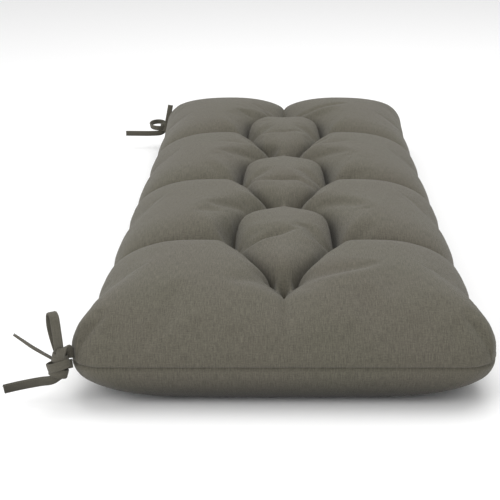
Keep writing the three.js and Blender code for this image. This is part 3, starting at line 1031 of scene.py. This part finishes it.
# Colours of the cover, the ties, their thread and the floor
CLOTH_COLOUR = (0.1095, 0.1015, 0.0775)
TIE_COLOUR = (0.1060, 0.0985, 0.0765)
THREAD_COLOUR = (0.125, 0.117, 0.092)
FLOOR_COLOUR = (0.96, 0.96, 0.96)

# Painted shade towards the floor: the cloth's colour is darkest at the first height above the floor, with
# the third number's share of its brightness there, and has all of it from the second height up
PAINTED_SHADE_FROM, PAINTED_SHADE_TO, PAINTED_SHADE_SHARE = 0.000, 0.050, 0.12

# Weaves: threads for each metre, and how strongly slubs and mottling show
Weave = namedtuple("Weave", "threads slub mottle")
COVER_WEAVE = Weave(1250, 1.15, 0.75)
TIE_WEAVE = Weave(1500, 0.60, 0.40)

# How often along and across the cloth the streaks of thick thread and the mottling come, in each metre
LONG_STREAKS = (980, 90, 1)
CROSS_STREAKS = (110, 980, 1)
MOTTLING = (620, 520, 1)
CROSS_SHARE = 0.55

# How far the threads wander from straight lines
WANDER = 0.0008
WANDER_SCALE = 90.0

# How much of a thread's height comes from lying over the crossing one
CROSSING = 0.35

# How often the colour drifts from cool to warm, in each metre
DRIFT_SCALE = 9.0


def add_maths(tree, operation, *values):
    return add_node(tree, "ShaderNodeMath", list(enumerate(values)), operation=operation).outputs[0]


def add_vectors(tree, operation, *values):
    return add_node(tree, "ShaderNodeVectorMath", list(enumerate(values)), operation=operation).outputs[0]


def add_scaled(tree, vector, scale):
    inputs = [(0, vector), ("Scale", scale)]
    return add_node(tree, "ShaderNodeVectorMath", inputs, operation="SCALE").outputs[0]


def make_plain_weave():
    """Node group: the tone, height and roughness of a plain weave with slubs."""
    tree = bpy.data.node_groups.new("plain_weave", "ShaderNodeTree")
    add_sockets(tree, "INPUT", {
        "Place": "Vector",
        "Threads per metre": "Float",
        "Slub": "Float",
        "Mottle": "Float",
    })
    add_sockets(tree, "OUTPUT", {"Tone": "Float", "Height": "Float", "Roughness": "Float"})
    given = tree.nodes.new("NodeGroupInput").outputs
    result = tree.nodes.new("NodeGroupOutput").inputs

    # the threads wander a little, so that no two run quite alike
    inputs = [("Vector", given["Place"]), ("Scale", WANDER_SCALE), ("Detail", 2.0)]
    wander = add_node(tree, "ShaderNodeTexNoise", inputs)
    shift = add_vectors(tree, "SUBTRACT", wander.outputs["Color"], (0.5, 0.5, 0.5))
    place = add_vectors(tree, "ADD", given["Place"], add_scaled(tree, shift, WANDER))
    count = add_scaled(tree, place, given["Threads per metre"])
    split = add_node(tree, "ShaderNodeSeparateXYZ", [(0, count)])
    wave_u = add_maths(tree, "SINE", add_maths(tree, "MULTIPLY", split.outputs[0], math.pi))
    wave_v = add_maths(tree, "SINE", add_maths(tree, "MULTIPLY", split.outputs[1], math.pi))
    over = add_maths(tree, "MULTIPLY", wave_u, wave_v)

    def threads(wave, sign):
        height = add_maths(tree, "MULTIPLY_ADD", over, sign * CROSSING, 1 - CROSSING)
        return add_maths(tree, "MULTIPLY", add_maths(tree, "ABSOLUTE", wave), height)

    weave = add_maths(tree, "MAXIMUM", threads(wave_u, 1), threads(wave_v, -1))

    # slubs: long thin streaks along the threads, most of them along the cushion
    def streaks(stretch, seed):
        inputs = [("Vector", place), ("Location", (seed, seed, 0)), ("Scale", stretch)]
        moved = add_node(tree, "ShaderNodeMapping", inputs)
        inputs = [("Vector", moved.outputs[0]), ("Scale", 1.0), ("Detail", 3.0), ("Roughness", 0.6)]
        noise = add_node(tree, "ShaderNodeTexNoise", inputs)
        return add_maths(tree, "SUBTRACT", noise.outputs["Fac"], 0.5)

    long_streaks = streaks(LONG_STREAKS, 3.1)
    cross_streaks = streaks(CROSS_STREAKS, 7.7)
    mottle = streaks(MOTTLING, 11.3)
    slubs = add_maths(tree, "MULTIPLY_ADD", cross_streaks, CROSS_SHARE, long_streaks)
    tone = add_maths(tree, "MULTIPLY_ADD", slubs, given["Slub"], 1.0)
    tone = add_maths(tree, "MULTIPLY_ADD", mottle, given["Mottle"], tone)
    shade = add_maths(tree, "MULTIPLY_ADD", weave, 0.30, 0.80)
    tree.links.new(add_maths(tree, "MULTIPLY", tone, shade), result["Tone"])
    tree.links.new(add_maths(tree, "MULTIPLY_ADD", slubs, 0.5, weave), result["Height"])
    tree.links.new(add_maths(tree, "MULTIPLY_ADD", weave, -0.08, 0.96), result["Roughness"])
    return tree


def cloth_material(name, plain_weave, colour, weave):
    """Cloth of the given colour, a little warmer in some places than in others."""
    material = bpy.data.materials.new(name)
    material.use_nodes = True
    tree = material.node_tree
    tree.nodes.clear()
    place = add_node(tree, "ShaderNodeUVMap", uv_map="cloth")
    group = add_node(tree, "ShaderNodeGroup", [
        ("Place", place.outputs[0]),
        ("Threads per metre", weave.threads),
        ("Slub", weave.slub),
        ("Mottle", weave.mottle),
    ], node_tree=plain_weave)
    # painted shade: the cloth's colour darkens towards the floor, standing in for the shade down there
    where = add_node(tree, "ShaderNodeTexCoord")
    height = add_node(tree, "ShaderNodeSeparateXYZ", [(0, where.outputs["Object"])])
    painted_shade = add_node(tree, "ShaderNodeMapRange", [
        ("Value", height.outputs["Z"]),
        ("From Min", PAINTED_SHADE_FROM),
        ("From Max", PAINTED_SHADE_TO),
        ("To Min", PAINTED_SHADE_SHARE),
        ("To Max", 1.0),
    ], interpolation_type="SMOOTHSTEP")
    tone = add_maths(tree, "MULTIPLY", group.outputs["Tone"], painted_shade.outputs[0])
    inputs = [("Vector", place.outputs[0]), ("Scale", DRIFT_SCALE), ("Detail", 2.0)]
    drift = add_node(tree, "ShaderNodeTexNoise", inputs)
    red, green, blue = colour
    warm = add_node(tree, "ShaderNodeMix", [("Factor", drift.outputs["Fac"])], data_type="RGBA")
    warm.inputs["A"].default_value = (red * 0.97, green, blue * 0.97, 1)
    warm.inputs["B"].default_value = (red * 1.04, green, blue * 1.05, 1)
    inputs = [("Strength", 0.6), ("Distance", 0.0003), ("Height", group.outputs["Height"])]
    bump = add_node(tree, "ShaderNodeBump", inputs)
    shader = add_node(tree, "ShaderNodeBsdfPrincipled", [
        ("Base Color", add_scaled(tree, warm.outputs["Result"], tone)),
        ("Roughness", group.outputs["Roughness"]),
        ("Normal", bump.outputs[0]),
        ("Sheen Weight", 0.12),
        ("Sheen Roughness", 0.5),
        ("Specular IOR Level", 0.25),
    ])
    output = add_node(tree, "ShaderNodeOutputMaterial")
    tree.links.new(shader.outputs[0], output.inputs["Surface"])
    return material


def thread_material():
    """Sewing thread: two plies that turn round each other."""
    material = bpy.data.materials.new("tie_thread")
    material.use_nodes = True
    tree = material.node_tree
    shader = tree.nodes["Principled BSDF"]
    where = add_node(tree, "ShaderNodeTexCoord")
    inputs = [("Vector", where.outputs["Object"]), ("Scale", 900.0), ("Distortion", 2.0)]
    plies = add_node(tree, "ShaderNodeTexWave", inputs, bands_direction="DIAGONAL")
    # painted shade: the thread's colour is darker where the ply bands run low, in the grooves between its
    # plies
    colour = add_node(tree, "ShaderNodeMix", [("Factor", plies.outputs["Fac"])], data_type="RGBA")
    colour.inputs["A"].default_value = (*[part * 0.75 for part in THREAD_COLOUR], 1)
    colour.inputs["B"].default_value = (*THREAD_COLOUR, 1)
    inputs = [("Strength", 0.5), ("Distance", 0.0001), ("Height", plies.outputs["Fac"])]
    bump = add_node(tree, "ShaderNodeBump", inputs)
    tree.links.new(colour.outputs["Result"], shader.inputs["Base Color"])
    tree.links.new(bump.outputs[0], shader.inputs["Normal"])
    shader.inputs["Roughness"].default_value = 0.65
    shader.inputs["Sheen Weight"].default_value = 0.1
    return material


FLOOR_SIZE = 16

# Soft studio light: a pale room, a large lamp above and a smaller one at the near left
ROOM_LIGHT = 0.75
Lamp = namedtuple("Lamp", "name place aim size power")
LAMPS = (
    Lamp("overhead", (0.3, 0.2, 2.4), (0, 0.05, 0), 2.2, 32),
    Lamp("front_left", (-1.5, -1.8, 1.6), (0, -0.2, 0.05), 1.4, 19),
)


def make_floor():
    bpy.ops.mesh.primitive_plane_add(size=FLOOR_SIZE)
    floor = bpy.context.object
    floor.name = "floor"
    material = bpy.data.materials.new("floor_paint")
    material.use_nodes = True
    shader = material.node_tree.nodes["Principled BSDF"]
    shader.inputs["Base Color"].default_value = (*FLOOR_COLOUR, 1)
    shader.inputs["Roughness"].default_value = 0.8
    floor.data.materials.append(material)
    return floor


def make_lights():
    world = bpy.data.worlds.new("studio")
    world.use_nodes = True
    background = world.node_tree.nodes["Background"]
    background.inputs["Color"].default_value = (1, 1, 1, 1)
    background.inputs["Strength"].default_value = ROOM_LIGHT
    bpy.context.scene.world = world
    for lamp in LAMPS:
        data = bpy.data.lights.new(lamp.name, "AREA")
        data.size = lamp.size
        data.energy = lamp.power
        light = bpy.data.objects.new(lamp.name, data)
        light.location = lamp.place
        direction = Vector(lamp.aim) - Vector(lamp.place)
        light.rotation_euler = direction.to_track_quat("-Z", "Y").to_euler()
        put_in_scene(light)
    bpy.context.scene.view_settings.view_transform = "Standard"


plain_weave = make_plain_weave()
cover_cloth = cloth_material("cover_cloth", plain_weave, CLOTH_COLOUR, COVER_WEAVE)
tie_cloth = cloth_material("tie_cloth", plain_weave, TIE_COLOUR, TIE_WEAVE)
stitch_nodes = make_stitch_nodes(thread_material())

cushion = make_cushion(cover_cloth)
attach(cushion, "root")
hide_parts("cushion")

TIES = (
    ("tie_near", -TIE_FROM_MIDDLE, NEAR_STRIPS, NEAR_WRAPS, 5),
    ("tie_far", TIE_FROM_MIDDLE, FAR_STRIPS, FAR_WRAPS, 8),
)
for node, root_y, strips, wraps, seed in TIES:
    tie, tie_length, seams = make_tie(node + "_bow", root_y, strips, wraps, tie_cloth)
    stitches = make_stitches(node + "_stitches", seams, stitch_nodes, seed)
    for piece in (tie, stitches):
        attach(piece, "root")
        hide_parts(node)

make_floor()
make_lights()
